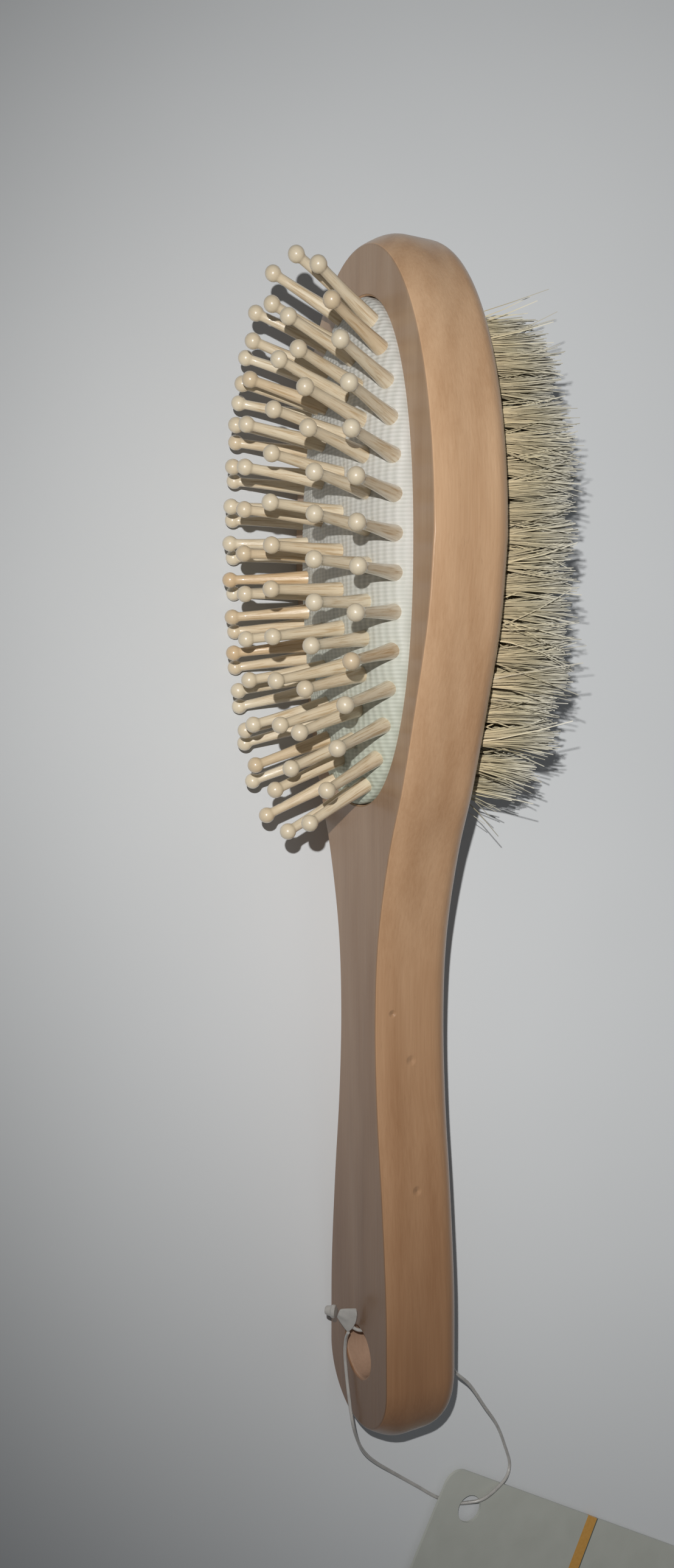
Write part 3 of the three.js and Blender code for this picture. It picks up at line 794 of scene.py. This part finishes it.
def bristle_material():
    hair, tree, shader = new_material("natural_bristle", Roughness=0.42, Specular_IOR_Level=0.5)
    along, tone = attribute(tree, "along"), attribute(tree, "tone")
    # paler towards the roots: painted light over the shade among the tufts
    length = ramp(
        tree, along, (0, (0.80, 0.66, 0.46)), (0.25, (0.60, 0.50, 0.33)), (0.6, (0.50, 0.45, 0.32)),
        (0.85, (0.56, 0.54, 0.46)), (1, (0.54, 0.53, 0.48)),
    )
    shade = ramp(tree, tone, (0, (0.72, 0.70, 0.64)), (0.5, (0.96, 0.94, 0.9)), (1, (1.36, 1.33, 1.24)))
    feed(tree, shader.inputs["Base Color"], mix(tree, 1.0, length, shade, "MULTIPLY"))
    bump(tree, shader, noise(tree, local_vector(tree), 7), 0.00004)
    return hair


def make_bristles(material):
    """Every tuft's bristles, as thin tapering three-sided hairs that lean and bend a little."""
    holes, each = np.array(tuft_places()), BRISTLE["per_tuft"]
    tufts = np.repeat(holes, each, 0)
    count, steps = len(tufts), BRISTLE["steps"]
    spin, out = scatter.uniform(0, 2 * math.pi, count), np.sqrt(scatter.uniform(0, 1, count))
    in_tuft = np.column_stack([out * np.cos(spin), out * np.sin(spin)])
    clump = np.repeat(scatter.normal(0, 0.06, (len(holes), 2)), each, 0)
    depth = np.full(count, BOARD["thickness"] - 1)
    root = np.column_stack([depth, tufts + in_tuft * (TUFTS["hole_radius"] - 0.15)])
    stray = scatter.random(count) < STRAY["share"]
    loose = np.where(stray, STRAY["spread"], 0.05)[:, None]
    from_middle = (tufts - (OPENING["y"], 0)) * (0.0010, 0.0050)
    lean = from_middle + clump + in_tuft * 0.02 + scatter.normal(0, 1, (count, 2)) * loose
    heading = np.column_stack([np.ones(count), lean])
    heading /= np.linalg.norm(heading, axis=1)[:, None]
    bend = scatter.normal(0, 0.06, (count, 2)) * np.where(stray, STRAY["curl"], 1)[:, None]
    curl = np.column_stack([np.zeros(count), bend])
    length = BRISTLE["length"] + scatter.normal(0, 0.7, count)
    length += np.where(stray, scatter.uniform(0, STRAY["extra"], count), 0)
    side = np.cross(heading, (0.0, 0.6, 0.8))
    side /= np.linalg.norm(side, axis=1)[:, None]
    other = np.cross(heading, side)
    radius = BRISTLE["radius"] * scatter.uniform(0.75, 1.25, count)
    rings = []
    for t in np.linspace(0, 1, steps + 1):
        middle = root + heading * (length * t)[:, None] + curl * (length * t**2)[:, None]
        thin = radius * (1 - 0.3 * t)
        for corner in range(3):
            angle = corner * 2 * math.pi / 3
            rings.append(middle + (side * math.cos(angle) + other * math.sin(angle)) * thin[:, None])
    points = np.stack(rings, 1)
    corners = 3 * (steps + 1)
    points = above_floor(points.reshape(-1, 3))
    one = []
    for ring in range(steps):
        for i in range(3):
            here, beside = 3 * ring + i, 3 * ring + (i + 1) % 3
            one.append((here, beside, beside + 3, here + 3))
    quads = (np.array(one)[None] + np.arange(count)[:, None, None] * corners).reshape(-1, 4)
    tips = np.array([0, 2, 1, corners - 3, corners - 2, corners - 1])
    ends = tips[None] + np.arange(count)[:, None] * corners
    faces = quads.tolist() + ends.reshape(-1, 3).tolist()
    bristles = bpy.data.objects.new("bristles", bpy.data.meshes.new("bristles"))
    bristles.data.from_pydata(points.tolist(), [], faces)
    bpy.context.scene.collection.objects.link(bristles)
    along = np.tile(np.repeat(np.linspace(0, 1, steps + 1), 3), count)
    tone = np.repeat(scatter.random(count), corners)
    for name, values in (("along", along), ("tone", tone)):
        bristles.data.attributes.new(name, "FLOAT", "POINT").data.foreach_set("value", values)
    rows = [f"bristle_row_{row + 1}" for row in range(TUFTS["rows"])]
    return dress(bristles, material, "natural_bristle", "handle", *rows, sharp=80)


# ---- Floor ----
def make_floor():
    reach = FLOOR["reach"]
    corners = [(-reach, -reach, 0), (reach, -reach, 0), (reach, reach, 0), (-reach, reach, 0)]
    floor = new_piece("floor", corners, [(0, 1, 2, 3)])
    paper, tree, shader = new_material("paper_floor", Roughness=0.9)
    cloud = noise(tree, tree.nodes.new("ShaderNodeTexCoord").outputs["Object"], 6, 3)
    pale = ramp(tree, cloud, (0.3, (0.62, 0.635, 0.645)), (0.7, (0.66, 0.675, 0.685)))
    feed(tree, shader.inputs["Base Color"], pale)
    floor.data.materials.append(paper)
    floor.location.z = -FLOOR["drop"]


# ---- Scene ----
make_camera()
nylon = nylon_material()
loop = make_loop(nylon)
socket = make_lock_socket(nylon)
leaf = make_lock_leaf(nylon)
tag = dress_tag()
make_board(
    wood_material("lacquered_wood", (0.66, 0.415, 0.235), (0.50, 0.285, 0.145), 0.36, 0.35),
    wood_material("raw_wood", (0.86, 0.66, 0.52), (0.66, 0.49, 0.37), 0.8, 0.0),
)
columns = pin_columns()
make_cushion(cushion_material(), np.concatenate(list(columns.values())))
birch = pin_material()
for column_name, column_feet in columns.items():
    make_pins(column_name, column_feet, birch)
make_bristles(bristle_material())
make_floor()
make_lights()
